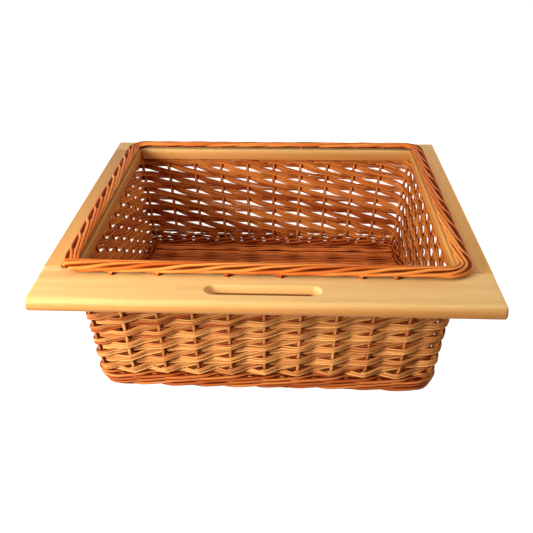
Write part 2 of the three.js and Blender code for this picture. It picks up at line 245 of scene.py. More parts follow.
def wall_places(stakes, heights, offsets, tighter=0, only_side=None):
    """Points and outward directions at places counted in stakes from the front's middle, counter-clockwise.

    The stake line is a rectangle with round corners. On a side, from mid-corner to mid-corner, the walked
    length clamped to the straight run gives the place on it, and the rest the angle turned at the corner.
    The runs shorten with the inset, the corner's radius changes down the wall, and the offset points out.
    Tighter is taken off the radius. On only one side, places run straight past its corners.
    """
    wall = settings("wall")
    half_x, half_y, middle = stake_rectangle()
    stakes, heights, offsets = np.broadcast_arrays(stakes, heights, offsets)
    arc = wall.corner_radius * np.pi / 2
    spaces = np.array([wall.spaces_across, wall.spaces_along] * 2)
    starts = np.concatenate([[0], np.cumsum(spaces)])
    left = np.mod(stakes + wall.spaces_across / 2, stake_count())
    if only_side is None:
        side = np.searchsorted(starts[1:4], left, side="right")
    else:
        side = np.full(left.shape, only_side)
    crosswise = side % 2 == 0
    half_along = np.where(crosswise, half_x, half_y)
    half_out = np.where(crosswise, half_y, half_x)
    run = 2 * (half_along - wall.corner_radius)
    since = np.mod(left - starts[side] + wall.spaces_across, stake_count()) - wall.spaces_across
    walked = since / spaces[side] * (run + arc) - arc / 2
    straight = np.clip(walked, 0, run) if only_side is None else walked
    turn = (walked - straight) / wall.corner_radius
    inset_along = inset_at(heights, np.where(crosswise, wall.foot_side, wall.foot_round))
    inset_out = inset_at(heights, np.where(crosswise, wall.foot_round, wall.foot_side))
    radius = wall.corner_radius - tighter + wall.low_corner * share_down(heights)
    x = (2 * straight / run - 1) * (half_along - inset_along - radius) + (radius + offsets) * np.sin(turn)
    y = radius - half_out + inset_out - (radius + offsets) * np.cos(turn)
    angle = side * np.pi / 2
    turned_x = x * np.cos(angle) - y * np.sin(angle)
    turned_y = x * np.sin(angle) + y * np.cos(angle) + middle
    facing = turn + angle
    return xyz(turned_x, turned_y, heights), xyz(np.sin(facing), -np.cos(facing), 0)


# Surfaces


def smooth_step(value, low, high):
    """From 0 at low to 1 at high: with t the share of the way, t squared times (3 - 2 t)."""
    share = np.clip((value - low) / (high - low), 0, 1)
    return share**2 * (3 - 2 * share)


def spread(seed, shape):
    """Even random numbers from 0 to 1 that are the same on every run."""
    return np.random.default_rng(seed).random(shape)


def xyz(x, y, z):
    """Points or directions from their three parts, stretched to one shape."""
    return np.stack(np.broadcast_arrays(x, y, z), -1)


def unit(vectors):
    """Vectors scaled to length one."""
    return vectors / np.maximum(np.linalg.norm(vectors, axis=-1, keepdims=True), 1e-12)


def rods(centres, sideways, radius, tones, sides):
    """A block of rods: a circle carried along each row of centres, with one tone for each rod.

    The circle is centre + radius (cos a N + sin a B), where N is the sideways direction made square to the
    path and B the path's direction crossed with N. It starts a quarter turn from N, so 0.25 of the way
    round lies opposite N.
    """
    ahead = unit(np.gradient(centres, axis=1))
    normal = unit(sideways - (sideways * ahead).sum(-1, keepdims=True) * ahead)
    other = np.cross(ahead, normal)
    angle = (np.arange(sides) / sides + 0.25) * 2 * np.pi
    circle = np.cos(angle)[:, None] * normal[:, :, None] + np.sin(angle)[:, None] * other[:, :, None]
    radius = np.broadcast_to(radius, centres.shape[:2])
    points = centres[:, :, None] + radius[:, :, None, None] * circle
    steps = np.linalg.norm(np.diff(centres, axis=1), axis=-1)
    along = np.concatenate([np.zeros((len(centres), 1)), np.cumsum(steps, 1)], 1)
    return {"points": points, "along": along, "tones": tones, "closed": True, "capped": True}


def sheet(points, closed=False, capped=False):
    """A block of one grid: rows of points, joined round if closed, with its end rows filled if capped."""
    along = np.broadcast_to(np.arange(len(points)) * MM, (1, len(points)))
    tones = np.full(1, 0.5)
    return {"points": points[None], "along": along, "tones": tones, "closed": closed, "capped": capped}


def faces_of(block, first):
    """Corner numbers, corner counts, smoothness and texture places of a block's faces.

    A face joins two neighbours of a row with the same two of the next. Its texture place is the length
    along the rod and the share of the way round.
    """
    count, rows, columns = block["points"].shape[:3]
    number = first + np.arange(count * rows * columns).reshape(count, rows, columns)
    left, right = number, np.roll(number, -1, axis=2)
    around = np.broadcast_to(np.arange(columns) / columns, number.shape)
    along = np.broadcast_to(block["along"][:, :, None], number.shape)
    if not block["closed"]:
        left, right, around, along = (part[:, :, :-1] for part in (left, right, around, along))

    def four(here, beside):
        return np.stack([here[:, :-1], beside[:, :-1], beside[:, 1:], here[:, 1:]], -1).reshape(-1)

    quads, u, v = four(left, right), four(along, along), four(around, around + 1 / columns)
    counts = np.full(len(quads) // 4, 4)
    smooth = np.ones(len(counts), bool)
    if block["capped"]:
        ends = np.stack([number[:, 0, ::-1], number[:, -1]], 1).reshape(-1)
        quads = np.concatenate([quads, ends])
        u, v = (np.concatenate([part, np.zeros(len(ends))]) for part in (u, v))
        counts = np.concatenate([counts, np.full(2 * count, columns)])
        smooth = np.concatenate([smooth, np.zeros(2 * count, bool)])
    return quads, counts, smooth, np.stack([u, v], -1)


def placed(name, data):
    """An object of its data, in the scene."""
    made = bpy.data.objects.new(name, data)
    bpy.context.scene.collection.objects.link(made)
    return made


def mesh_piece(name, blocks, material, nodes):
    """One object from several blocks, standing for the named CAD nodes."""
    first, found = 0, []
    for block in blocks:
        found.append(faces_of(block, first))
        first += block["points"][..., 0].size
    corners, counts, smooth, places = (np.concatenate(part) for part in zip(*found))
    points = np.concatenate([block["points"].reshape(-1, 3) for block in blocks])
    tones = np.concatenate([np.repeat(b["tones"], b["points"][0, ..., 0].size) for b in blocks])
    mesh = bpy.data.meshes.new(name)
    mesh.vertices.add(len(points))
    mesh.vertices.foreach_set("co", points.astype(np.float32).ravel())
    mesh.loops.add(len(corners))
    mesh.polygons.add(len(counts))
    mesh.polygons.foreach_set("loop_start", np.concatenate([[0], np.cumsum(counts)[:-1]]))
    mesh.polygons.foreach_set("vertices", corners)
    mesh.polygons.foreach_set("use_smooth", smooth)
    mesh.update(calc_edges=True)
    mesh.uv_layers.new(name="rod").uv.foreach_set("vector", places.astype(np.float32).ravel())
    mesh.attributes.new("tone", "FLOAT", "POINT").data.foreach_set("value", tones.astype(np.float32))
    mesh.materials.append(material)
    piece = placed(name, mesh)
    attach(piece, "root")
    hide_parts(*nodes)


# Materials

# Noise of the wood in repeats per metre along, across and up a rail, and its detail.
BEECH_BANDS = ((2.2, 70, 70), 3)
BEECH_FIBRES = ((14, 700, 700), 2)
BEECH_FLECKS = ((180, 1400, 1400), 1)
FIBRE_TINT = (0.93, 0.89, 0.83)
FLECK_TINT = (0.8, 0.7, 0.58)
# Painted shade: the wood is darker from its top face down its edges to its underside.
UNDERSIDE_PAINTED_SHADE = (0.74, 0.48, 0.32)
EDGE_PAINTED_SHADE = (0.84, 0.62, 0.45)
# Painted shadow: colour of the dark line along the finger groove's bottom, for the shade under its front
# rim.
GROOVE_PAINTED_SHADOW = (0.14, 0.045, 0.012, 1)

# Noise of the willow in repeats per metre along a rod and per turn round it, and its detail.
WILLOW_STREAKS = ((55, 11, 1), 3)
WILLOW_BLOTCHES = ((18, 1.5, 1), 2)
WILLOW_SCARS = ((130, 3, 1), 1)
STREAK_TINT = (0.8, 0.6, 0.45)
SCAR_TINT = (0.42, 0.28, 0.18)
# Painted shade where a rod touches its neighbours.
BESIDE_PAINTED_SHADE = (0.3, 0.15, 0.07)
# Painted shade and warm bounce light on the side of a rod towards the basket's inside.
INSIDE_PAINTED_SHADE = (0.92, 0.68, 0.48)
# Painted shade: the deepest colour, which the border's core takes for the shade between its rods; rods
# seldom reach it.
PAINTED_SHADE_SHARE = 0.2  # of the dark colour, at a tone of 0
BLOTCH_DEPTH = 0.6
TONE_SPACING = 90.0  # how far apart the patterns of two rods lie


def add_node(tree, kind, inputs=(), **values):
    """A node with its settings, and its inputs given as constants or as sockets."""
    made = tree.nodes.new("ShaderNode" + kind)
    for key, value in values.items():
        setattr(made, key, value)
    for key, value in dict(inputs).items():
        if isinstance(value, bpy.types.NodeSocket):
            tree.links.new(value, made.inputs[key])
        else:
            made.inputs[key].default_value = value
    return made


def new_material(name, gloss):
    """A material with its Principled shader, and its node tree."""
    material = bpy.data.materials.new(name)
    material.use_nodes = True
    shader = material.node_tree.nodes["Principled BSDF"]
    shader.inputs["Specular IOR Level"].default_value = gloss
    return material, material.node_tree, shader


def maths(tree, operation, *values):
    """The result of a Math node, with its inputs in order."""
    return add_node(tree, "Math", dict(enumerate(values)), operation=operation).outputs["Value"]


def noise(tree, vector, scale, detail, inputs=(), dimensions="3D"):
    """Noise on a vector that is stretched by a scale."""
    stretched = add_node(tree, "Mapping", {"Vector": vector, "Scale": scale}).outputs["Vector"]
    inputs = {"Vector": stretched, "Scale": 1, "Detail": detail, **dict(inputs)}
    return add_node(tree, "TexNoise", inputs, noise_dimensions=dimensions).outputs["Fac"]


def part_of(tree, vector, axis):
    """One axis of a vector."""
    return add_node(tree, "SeparateXYZ", {"Vector": vector}).outputs[axis]


def share_on(tree, place, axis, least, most):
    """Where a place lies between two others on an axis, from 0 to 1."""
    limits = {"Value": part_of(tree, place, axis), "From Min": least, "From Max": most}
    return add_node(tree, "MapRange", limits).outputs["Result"]


def ramp(tree, factor, stops):
    """A colour ramp with (place, colour) stops."""
    made = add_node(tree, "ValToRGB", {"Fac": factor})
    while len(made.color_ramp.elements) < len(stops):
        made.color_ramp.elements.new(0.5)
    for element, (place, value) in zip(made.color_ramp.elements, stops):
        element.position = place
        element.color = (*value, 1)
    return made.outputs["Color"]


def mixed(tree, factor, first, second, blend="MIX"):
    """Two colours mixed by a factor: a Mix node's inputs 6 and 7 and its output 2."""
    inputs = {0: factor, 6: first, 7: second}
    return add_node(tree, "Mix", inputs, data_type="RGBA", blend_type=blend).outputs[2]


def times(tree, shade, tint, strength=1.0):
    """A colour multiplied by a tint."""
    return mixed(tree, strength, shade, tint, "MULTIPLY")


def finish_surface(tree, shader, shade, relief, roughness, strength, depth):
    """A shader's colour, and a relief that moves its roughness within limits and bumps its surface."""
    limits = {"Value": relief, "To Min": roughness[0], "To Max": roughness[1]}
    rough = add_node(tree, "MapRange", limits)
    bump = add_node(tree, "Bump", {"Height": relief, "Strength": strength, "Distance": depth})
    tree.links.new(shade, shader.inputs["Base Color"])
    tree.links.new(rough.outputs["Result"], shader.inputs["Roughness"])
    tree.links.new(bump.outputs["Normal"], shader.inputs["Normal"])


def groove_painted_shadow(tree, place):
    """How much of the finger groove's painted shadow a place takes: the product of a window on each axis.

    The painted shadow is a dark line along the groove's bottom, just behind its middle, standing in for the
    shade under the front rim. A window's places are shares of the groove's length, its width or the rail's
    height: the shadow fades in between the first two and out between the last two.
    """
    rail = settings("rails")
    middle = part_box("front_rail")[0].y + rail.groove_from_front
    half_length, half_width = rail.groove_length / 2, rail.groove_width / 2
    windows = (
        ("X", -half_length, half_length, (0.06, 0.1, 0.9, 0.94)),
        ("Y", middle - half_width, middle + half_width, (0.58, 0.62, 0.73, 0.77)),
        ("Z", rail_underside(), rail_top(), (0.2, 0.25, 0.95, 0.98)),
    )
    shadowed = (*WHITE, 1)
    for axis, least, most, places in windows:
        share = share_on(tree, place, axis, least, most)
        window = ramp(tree, share, list(zip(places, (BLACK, WHITE, WHITE, BLACK))))
        shadowed = times(tree, shadowed, window)
    return shadowed


def beech(name, along_x, tint):
    """Lacquered beech: soft grain bands, fine fibres and short dark flecks along the rail, times a tint,
    which on the side rails is painted light and shade.

    Painted shade darkens the wood from its top face down its edges. A painted shadow runs as a dark line
    along the finger groove's bottom.
    """
    finish = settings("finish")
    material, tree, shader = new_material(name, gloss=0.2)
    place = add_node(tree, "TexCoord").outputs["Object"]
    turn = (0, 0, 0) if along_x else (0, 0, math.radians(90))
    turned = add_node(tree, "Mapping", {"Vector": place, "Rotation": turn}).outputs["Vector"]
    fibres = noise(tree, turned, *BEECH_FIBRES)
    bands = noise(tree, turned, *BEECH_BANDS, {"Distortion": 0.6})
    flecks = noise(tree, turned, *BEECH_FLECKS)
    level = share_on(tree, place, "Z", rail_underside(), rail_top())
    wood = ramp(tree, bands, [(0.25, finish.beech_dark), (0.7, finish.beech_light)])
    wood = times(tree, wood, ramp(tree, fibres, [(0.3, FIBRE_TINT), (0.65, WHITE)]))
    wood = times(tree, wood, ramp(tree, flecks, [(0.27, FLECK_TINT), (0.35, WHITE)]), 0.7)
    # Painted shade, darker towards the rail's underside.
    edges = ramp(tree, level, [(0.0, UNDERSIDE_PAINTED_SHADE), (0.55, EDGE_PAINTED_SHADE), (0.97, WHITE)])
    wood = times(tree, wood, edges)
    # Painted shadow: a dark line along the groove's bottom, for the shade under the front rim.
    if along_x:
        wood = mixed(tree, groove_painted_shadow(tree, place), wood, GROOVE_PAINTED_SHADOW)
    wood = times(tree, wood, (*tint, 1))
    finish_surface(tree, shader, wood, fibres, (0.42, 0.55), strength=0.05, depth=0.0004)
    return material


def willow(name, look, roughness=0.4):
    """Steamed willow: each rod has its own tone, streaks along it, blotches and small dark scars.

    Painted shade makes a rod darker where it touches its neighbours and on its side towards the basket's
    inside.
    """
    finish = settings("finish")
    material, tree, shader = new_material(name, gloss=0.03)
    tone = add_node(tree, "Attribute", attribute_name="tone").outputs["Fac"]
    place = add_node(tree, "UVMap", uv_map="rod").outputs["UV"]
    own = {"W": maths(tree, "MULTIPLY", tone, TONE_SPACING)}
    streaks, blotches, scars = (
        noise(tree, place, *kind, own, "4D") for kind in (WILLOW_STREAKS, WILLOW_BLOTCHES, WILLOW_SCARS)
    )
    light, dark = getattr(finish, look + "_light"), getattr(finish, look + "_dark")
    # Painted shade: the deepest stop of the ramp, taken by the border's core.
    painted_deep_shade = [PAINTED_SHADE_SHARE * part for part in dark]
    shade = maths(tree, "MULTIPLY_ADD", maths(tree, "ADD", blotches, -0.5), BLOTCH_DEPTH, tone)
    rod = ramp(tree, shade, [(0.0, painted_deep_shade), (0.05, dark), (0.95, light)])
    rod = times(tree, rod, ramp(tree, streaks, [(0.32, STREAK_TINT), (0.6, WHITE)]), 0.75)
    rod = times(tree, rod, ramp(tree, scars, [(0.2, SCAR_TINT), (0.27, WHITE)]), 0.8)
    turned = maths(tree, "MULTIPLY", part_of(tree, place, "Y"), 2 * math.pi)
    beside = maths(tree, "ABSOLUTE", maths(tree, "COSINE", turned))
    inside = maths(tree, "SINE", turned)
    # Painted shade on the sides of a rod where it touches its neighbours.
    rod = times(tree, rod, ramp(tree, beside, [(0.55, WHITE), (1.0, BESIDE_PAINTED_SHADE)]))
    # Painted shade on the side of a rod towards the basket's inside.
    rod = times(tree, rod, ramp(tree, inside, [(0.0, WHITE), (0.6, INSIDE_PAINTED_SHADE)]))
    limits = (roughness - 0.1, roughness + 0.1)
    finish_surface(tree, shader, rod, streaks, limits, strength=0.25, depth=0.0003)
    return material


# Rails

# Painted light and shade on the side rails: the left rail is painted darker, as if in shade, and the right
# rail lighter, as if lit.
LEFT_RAIL_PAINTED_SHADE = (0.82, 0.66, 0.5)
RIGHT_RAIL_PAINTED_LIGHT = (1, 0.84, 0.6)


def round_section(low, high, near_radius, far_radius, shrink, steps=8):
    """Outline of a rail's section, (across, up), counter-clockwise from the near end's upper tangent point.

    A rectangle from low to high, its near and far corners quarter circles of their own radius. Shrinking
    moves every side in and takes as much off the radii.
    """
    turn = np.arange(steps + 1) / steps * np.pi / 2
    corners = (
        (low[0], high[1], near_radius, np.pi / 2),
        (low[0], low[1], near_radius, np.pi),
        (high[0], low[1], far_radius, 1.5 * np.pi),
        (high[0], high[1], far_radius, 2 * np.pi),
    )
    outline = []
    for across, up, radius, start in corners:
        inwards = np.array([1 if across == low[0] else -1, 1 if up == low[1] else -1])
        middle = np.array([across, up]) + inwards * radius
        arc = np.stack([np.cos(start + turn), np.sin(start + turn)], -1)
        outline.append(middle + max(radius - shrink, 0) * arc)
    return np.concatenate(outline)


def eased_end(section, end, inwards, ease, along_x, steps=5):
    """Rows of a rail's rounded end, from the end inwards, in YZ along X and in XZ along Y.

    With a up to a right angle, the section shrinks by ease (1 - sin a) at ease (1 - cos a) from the end.
    """
    rows = []
    for angle in np.arange(steps + 1) / steps * np.pi / 2:
        across, up = section(ease * (1 - math.sin(angle))).T
        station = end + inwards * ease * (1 - math.cos(angle))
        rows.append(xyz(station, across, up) if along_x else xyz(across, station, up))
    return np.stack(rows)


def rail_ends(node, along_x, near_radius, ease):
    """Rows of a rail's two ends, from its CAD box: its section carried round the ease of each end."""
    rail = settings("rails")
    low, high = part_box(node)
    along, across = (0, 1) if along_x else (1, 0)
    lowest, highest = (low[across], low.z), (high[across], high.z)

    def section(shrink):
        outline = round_section(lowest, highest, near_radius, rail.edge_ease, shrink)
        return outline if along_x else outline[::-1]

    start = eased_end(section, low[along], 1, ease, along_x)
    finish = eased_end(section, high[along], -1, ease, along_x)
    return start, finish[::-1]


def groove_top(half_length, near_y, far_y, bowl_steps=14, lip_steps=5, cap_steps=25, run_steps=39):
    """Flat top of the front rail with its groove, as closed rings from the top's edges inwards.

    A ring keeps one distance from the groove's middle line. Inside, that distance and the depth follow a
    circle through both rims and the bottom, no shallower than the lip. Then come the lip's quarter circle,
    a flat ring and the rectangle of the top.
    """
    rail = settings("rails")
    half, lip = rail.groove_width / 2, rail.groove_lip
    bend = (half**2 + rail.groove_depth**2) / (2 * rail.groove_depth)
    line = (rail.groove_length - rail.groove_width) / 2
    middle_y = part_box("front_rail")[0].y + rail.groove_from_front
    sweep = np.linspace(0, np.arcsin(min(half / bend, 1)), bowl_steps)
    turn = np.linspace(0, np.pi / 2, lip_steps + 1)[1:]
    bowl = np.maximum(rail.groove_depth - bend * (1 - np.cos(sweep)), lip)
    reach = np.concatenate([bend * np.sin(sweep), half + lip * (1 - np.cos(turn)), [half + 2 * lip]])
    drop = np.concatenate([bowl, lip * (1 - np.sin(turn)), [0]])
    cap = np.linspace(-np.pi / 2, np.pi / 2, cap_steps)
    run = np.linspace(-1, 1, run_steps + 2)[1:-1]
    flat, still = np.ones(run_steps), np.zeros(run_steps)
    centre = np.concatenate([np.full(cap_steps, line), -run * line, np.full(cap_steps, -line), run * line])
    out_x = np.concatenate([np.cos(cap), still, -np.cos(cap), still])
    out_y = np.concatenate([np.sin(cap), flat, -np.sin(cap), -flat])
    x = centre + reach[:, None] * out_x
    y = middle_y + reach[:, None] * out_y
    rim_x = np.where(np.abs(centre) < line, centre / line * half_length, np.sign(centre) * half_length)
    rim_y = middle_y + out_y * np.where(out_y >= 0, far_y - middle_y, middle_y - near_y)
    rings = [xyz(x, y, rail_top() - drop[:, None]), xyz(rim_x, rim_y, rail_top())[None]]
    return np.concatenate(rings)[::-1]


class BASKET_OT_rails(bpy.types.Operator):
    """Build the four beech rails and finish the dowels"""

    bl_idname = "basket.rails"
    bl_label = "Rails"

    def execute(self, context):
        rail = settings("rails")
        across = beech("beech_across", True, WHITE)
        # The side rails are painted light and shade: the left darker, the right lighter.
        left = beech("beech_left", False, LEFT_RAIL_PAINTED_SHADE)
        right = beech("beech_right", False, RIGHT_RAIL_PAINTED_LIGHT)
        boards = (
            ("back_rail", True, rail.edge_ease, across),
            ("left_rail", False, rail.joint_ease, left),
            ("right_rail", False, rail.joint_ease, right),
        )
        for node, along_x, ease, wood in boards:
            rows = np.concatenate(rail_ends(node, along_x, rail.edge_ease, ease))
            mesh_piece(node + "_wood", [sheet(rows, True, True)], wood, [node])
        nose = (rail_top() - rail_underside() - rail.nose_flat) / 2
        start, finish = rail_ends("front_rail", True, nose, rail.end_ease)
        body = np.stack([start[-1], finish[0]])
        top = groove_top(body[1, 0, 0], body[0, 0, 1], body[0, -1, 1])
        blocks = [sheet(start, True), sheet(body), sheet(finish, True), sheet(top, True)]
        for rows in (start[0], finish[-1][::-1]):
            middle = np.broadcast_to(rows.mean(0), rows.shape)
            blocks.append(sheet(np.stack([middle, rows]), True))
        mesh_piece("front_rail_wood", blocks, across, ["front_rail"])
        for name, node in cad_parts.items():
            if name.startswith("dowel"):
                node.data.materials.clear()
                node.data.materials.append(right)
        return {"FINISHED"}


# Stakes and base

STAKE_LOW, STAKE_PAST_RAIL = 1.5 * MM, 2 * MM  # above the floor, above the rails
STAKE_STATIONS, BASE_STATIONS = 24, 56  # rows of points along a rod
BASE_LIFT, BASE_RIPPLE = 0.85, 0.25  # of a rod's radius: its layer off the sticks, its wave
BASE_CLEARANCE = 0.1 * MM
BASE_DRIFT, DRIFT_RATE = 0.6 * MM, 70  # a rod's sine, and its radians per metre
STICK_SHORT = 2 * MM  # of the base's outline


def base_plan():
    """Half width, half depth, corner radius, middle and level of the base.

    Its outline is the stake line at the floor plus the overhang.
    """
    wall, base = settings("wall"), settings("base")
    half_x, half_y, middle = stake_rectangle()
    half_x = half_x + base.overhang - inset_at(np.zeros(1), wall.foot_side)[0]
    half_y = half_y + base.overhang - inset_at(np.zeros(1), wall.foot_round)[0]
    radius = wall.corner_radius + wall.low_corner + base.overhang
    level = (BASE_LIFT + BASE_RIPPLE + 1) * base.rod_radius + BASE_CLEARANCE
    return half_x, half_y, radius, middle, level


def half_length_at(place, half_place, half_length, radius):
    """Half the base's length at a place across it.

    In a round corner it is less by radius - the root of (radius squared - distance into it squared).
    """
    corner = np.clip(np.abs(place) - half_place + radius, 0, radius)
    return half_length - radius + np.sqrt(radius**2 - corner**2)


def base_rods():
    """Rods woven across the base, in an upper and a lower layer half a pitch apart.

    A rod's height is its layer's plus a ripple times cos (pi x / stick pitch), turned over on every second
    rod, so that neighbours pass the sticks on opposite sides. It drifts to and fro along a sine.
    """
    base = settings("base")
    half_x, half_y, radius, middle, level = base_plan()
    rows = int(2 * half_y / base.rod_pitch)
    layer = np.repeat([1, -1], rows)[:, None]
    y = (np.tile(np.arange(rows), 2) + 0.5 - rows / 2 + 0.25 * layer[:, 0]) * base.rod_pitch
    x = np.linspace(-1, 1, BASE_STATIONS) * half_length_at(y, half_y, half_x, radius)[:, None]
    side = np.where(np.arange(2 * rows) % 2 == 0, 1, -1)[:, None]
    drift = BASE_DRIFT * np.sin(x * DRIFT_RATE + 9 * spread(21, (2 * rows, 1)))
    ripple = side * BASE_RIPPLE * base.rod_radius * np.cos(np.pi * x / base.stick_pitch)
    z = level + layer * BASE_LIFT * base.rod_radius + ripple
    thick = base.rod_radius * (0.85 + 0.15 * spread(22, (2 * rows, 1)))
    centres = xyz(x, y[:, None] + middle + drift, z)
    return rods(centres, UP * layer[..., None], thick, spread(23, 2 * rows), sides=6)


def base_sticks():
    """Straight sticks of the base, front to back at their pitch, just short of its outline."""
    base = settings("base")
    half_x, half_y, radius, middle, level = base_plan()
    sticks = int(half_x / base.stick_pitch)
    x = np.arange(-sticks, sticks + 1) * base.stick_pitch
    reach = half_length_at(x, half_x, half_y, radius) - STICK_SHORT
    y = np.linspace(-1, 1, 5) * reach[:, None] + middle
    tones = 0.2 + 0.6 * spread(24, len(x))
    return rods(xyz(x[:, None], y, level), np.array([1.0, 0.0, 0.0]), base.stick_radius, tones, sides=8)


class BASKET_OT_base(bpy.types.Operator):
    """Weave the base: rods across, over and under sticks that run front to back"""

    bl_idname = "basket.base"
    bl_label = "Base"

    def execute(self, context):
        material = willow("willow_base", "base")
        blocks = [base_rods(), base_sticks()]
        mesh_piece("base_weave", blocks, material, ["base_and_stakes"])
        return {"FINISHED"}


class BASKET_OT_stakes(bpy.types.Operator):
    """Build the upright rods, which follow the wall's lean from the foot to just above the rails"""

    bl_idname = "basket.stakes"
    bl_label = "Stakes"

    def execute(self, context):
        wall, count = settings("wall"), stake_count()
        heights = np.linspace(STAKE_LOW, rail_top() + STAKE_PAST_RAIL, STAKE_STATIONS)
        points, outward = wall_places(np.arange(count)[:, None], heights[None], 0)
        block = rods(points, outward, wall.stake_radius, 0.35 + 0.45 * spread(11, count), sides=10)
        material = willow("willow_stakes", "wall")
        mesh_piece("stakes", [block], material, ["base_and_stakes"])
        return {"FINISHED"}


# Wale and weavers

STRANDS = 3  # of the wale
WALE_SHARPNESS = 1.3  # how quickly a strand changes sides
WALE_REACH = 1.2  # of a rod's radius, past the stakes
WALE_WANDER = 0.35 * MM
WEAVER_STEPS = np.array([0, 0.03, *np.arange(1, 10) / 10, 0.97])  # in a stake space
STEPS_LATER = 3  # by which each rod of a weaver starts after the one below
WEAVER_GAP = 1.4 * MM  # above the wale
WEAVER_CLOSE = 0.86  # share of half a row that a weaver's rods fill
OUTSIDE_HALF, BOW_POWER = 0.46, 1.4  # stake spaces that a weaver needs to come inside, and its curve
INSIDE_SHARE = 0.95  # of the swing
TURN_ROUND, SOFT_FLOOR, SOFT_TOP = 0.0004, 0.004, 2.002  # soften its turns outside and inside
ROD_WANDER, SHARED_WANDER, ROD_DRIFT, STAGGER = 0.15 * MM, 0.5 * MM, 0.25 * MM, 0.25 * MM
FAN_FROM, FAN_TO, FAN = 0.14, 0.32, 0.16  # where a weaver's rods spread, and by how much


def wale_rods():
    """Rods of the wale: rounds of three strands, each passing outside two stakes and inside the third.

    A strand's phase turns once in three stakes, a third of a turn behind the strand before it. Its offset
    is tanh of the sharpness times (1 - 4 cos phase) / 3, over tanh of the sharpness, times (the stake's
    radius + 1.2 of the rod's). Its height is the round's less a rise times sin phase. Height and radius
    wander.
    """
    wall, count = settings("wall"), stake_count()
    rod_radius = wall.wale_rod_radius
    row_height = (wall.wale_top - wall.wale_low) / wall.wale_rows
    row, strand = (part[:, None] for part in np.divmod(np.arange(STRANDS * wall.wale_rows), STRANDS))
    stakes = wall.spaces_across / 2 + 2 + np.linspace(0, count, 10 * count + 1)
    phase = (stakes - strand - row) * 2 * np.pi / STRANDS
    out = np.tanh(WALE_SHARPNESS * (1 - 4 * np.cos(phase)) / 3) / np.tanh(WALE_SHARPNESS)
    turn = stakes * 2 * np.pi / count
    level = wall.wale_top - (row + 0.5) * row_height
    wander = WALE_WANDER * np.sin((5 + strand) * turn + 3 * row)
    heights = level - rod_radius * 2 / math.sqrt(3) * np.sin(phase) + wander
    reach = wall.stake_radius + WALE_REACH * rod_radius
    points, outward = wall_places(stakes[None], heights, reach * out)
    radius = rod_radius * (1 + 0.1 * np.sin(7 * turn + 5 * strand + 2 * row))
    return rods(points, outward, radius, 0.2 + 0.5 * spread(31, len(row)), sides=8)


def weaver_rods(seed, group):
    """Rods of the weavers that start at a group of stakes.

    A weaver climbs half a row at every stake, its rods stacked in height and fanned a little in between.
    With d the distance in stake spaces to the nearest stake that it passes outside, its offset is the swing
    times (2 p - 0.95), where p is 1 - (d / 0.46) to the power 1.4, softly kept above 0: it lies outside
    around every second stake. The rods wander on sines, partly together.
    """
    wall = settings("wall")
    climb, rod_count = wall.weaver_climb, wall.weaver_rods
    low, high = wall.wale_top + WEAVER_GAP, rail_underside()
    half_row = (high - low) / (climb + 1)
    rod = np.arange(rod_count)[:, None]
    stations = len(WEAVER_STEPS) * (climb + 1) + 3
    grid = (np.arange(-1, climb + 2)[:, None] + WEAVER_STEPS).reshape(-1)
    passed = grid[1 + STEPS_LATER * rod + np.arange(stations)]
    climbed = np.clip(passed, 0, climb)
    from_outer = np.abs(passed - 2 * np.round(passed / 2))
    from_stake = np.minimum(from_outer, 1 - from_outer)
    slant = 1 - (np.sqrt(from_outer**2 + TURN_ROUND) / OUTSIDE_HALF) ** BOW_POWER
    peak = (slant + np.sqrt(slant**2 + SOFT_FLOOR)) / SOFT_TOP
    fan = smooth_step(from_stake, FAN_FROM, FAN_TO)
    chance = spread(seed, (6, len(group), rod_count, 1))
    wander = np.sin(passed * (0.7 + chance[0]) + 7 * chance[1])
    shared = np.sin(passed * (0.5 + 0.5 * chance[0, :, :1]) + 7 * chance[1, :, :1])
    drift = np.sin(passed * (0.6 + chance[2]) + 7 * chance[3])
    rod_gap = WEAVER_CLOSE * half_row / rod_count
    stack = (rod - (rod_count - 1) / 2) * rod_gap * (1 + FAN * fan)
    heights = low + half_row * (climbed + 0.5) + stack + ROD_WANDER * wander + SHARED_WANDER * shared
    stagger = np.where(rod % 2 == 0, STAGGER, -STAGGER)
    out = wall.weaver_swing * (2 * peak - INSIDE_SHARE) + stagger + ROD_DRIFT * drift
    points, outward = wall_places(group[:, None, None] + passed, heights, out)
    radius = wall.weaver_rod_radius * (0.95 + 0.1 * chance[4]) * (0.92 + 0.08 * fan)
    tones = (0.15 + 0.5 * chance[5] + 0.25 * chance[5, :, :1]).reshape(-1)
    flat = (len(group) * rod_count, stations)
    return rods(points.reshape(*flat, 3), outward.reshape(*flat, 3), radius.reshape(flat), tones, sides=7)


class BASKET_OT_wale(bpy.types.Operator):
    """Weave the three-strand wale that binds the stakes at the foot"""

    bl_idname = "basket.wale"
    bl_label = "Wale"

    def execute(self, context):
        material = willow("willow_wale", "wale")
        nodes = [f"wale_strand_{number}" for number in (1, 2, 3)]
        mesh_piece("wale", [wale_rods()], material, nodes)
        return {"FINISHED"}


class BASKET_OT_weavers(bpy.types.Operator):
    """Weave the wall: a weaver of several rods starts at each stake and climbs half a row at every stake"""

    bl_idname = "basket.weavers"
    bl_label = "Weavers"

    def execute(self, context):
        material = willow("willow_wall", "wall")
        thirds = np.array_split(np.arange(stake_count()), 3)
        for number, group in enumerate(thirds, 1):
            nodes = [f"weaver_{weaver + 1:02d}" for weaver in group]
            block = weaver_rods(40 + number, group)
            mesh_piece(f"weavers_{number}", [block], material, nodes)
        return {"FINISHED"}


# Border

CROSSING = 1.3  # stake spaces from a rod's start to where it crosses the top
FULLER_IN_FRONT = 0.3
HEAP, HEAP_THICKER = 0.35, 0.25  # extra height and thickness at the front left corner
HEAP_LENGTH = 3  # stakes over which they fade by e
